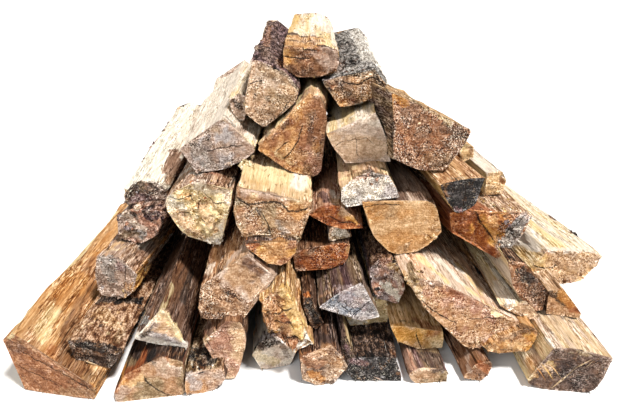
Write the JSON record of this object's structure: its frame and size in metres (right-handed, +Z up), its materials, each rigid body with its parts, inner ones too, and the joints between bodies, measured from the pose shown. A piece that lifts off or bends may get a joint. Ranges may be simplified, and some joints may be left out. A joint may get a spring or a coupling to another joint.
{
  "type": "firewood bundle",
  "caption": "Heap of split firewood, the logs stacked by hand all one way into a sloping pile, for a hearth, a stove or a yard.",
  "frame": {"origin": "on the surface that the heap stands on, under the middle of its box", "axes": "+Z up, +X to the right of the heap seen from its front, +Y from the logs' front ends to their rear ends"},
  "size_m": [0.6366, 0.5096, 0.3208],
  "materials": {
    "fresh_wood": "freshly split, pale cream to yellow, torn fibres",
    "tan_wood": "dry split wood, tan, rough sawn ends",
    "red_brown_wood": "red-brown heartwood, rough",
    "grey_wood": "weathered grey, speckled sawn ends",
    "bark_wood": "bark and purple-brown inner bark, flaky",
    "charred_wood": "blackened and stained, dull"
  },
  "bodies": {
    "root": {"left_corner_log": "tan_wood", "front_left_log": "fresh_wood", "bark_top_log": "grey_wood", "red_wedge_log": "red_brown_wood", "charred_top_log": "tan_wood", "amber_low_log": "tan_wood", "black_slab_log": "charred_wood", "thin_slab_log": "tan_wood", "round_edge_log": "grey_wood", "right_corner_log": "red_brown_wood", "charred_left_log": "charred_wood", "blue_wedge_log": "grey_wood", "broken_gold_log": "tan_wood", "pale_facet_log": "tan_wood", "ridged_strip": "bark_wood", "gold_slab_log": "fresh_wood", "olive_log": "grey_wood", "dark_sliver": "bark_wood", "blue_grey_log": "grey_wood", "flat_right_log": "red_brown_wood", "flaky_bark_log": "bark_wood", "wide_slab_log": "tan_wood", "tan_strip_log": "tan_wood", "orange_edge_log": "red_brown_wood", "dark_bark_log": "bark_wood", "grey_block_log": "grey_wood", "pink_bark_log": "bark_wood", "rust_log": "red_brown_wood", "orange_under_log": "red_brown_wood", "small_grey_log": "grey_wood", "tan_smooth_log": "fresh_wood", "torn_grey_log": "grey_wood", "long_right_log": "fresh_wood", "blue_black_log": "charred_wood", "cream_rough_log": "fresh_wood", "yellow_top_log": "fresh_wood", "orange_foot_log": "red_brown_wood", "salt_pepper_log": "grey_wood", "streaky_right_log": "fresh_wood", "stub_right_log": "tan_wood", "white_left_log": "grey_wood", "mauve_end_log": "grey_wood", "cream_splinter": "fresh_wood", "grey_beige_log": "tan_wood", "orange_centre_log": "red_brown_wood", "porous_right_log": "tan_wood", "bark_left_top_log": "bark_wood", "lichen_log": "bark_wood", "top_log": "fresh_wood"}
  },
  "joints": []
}
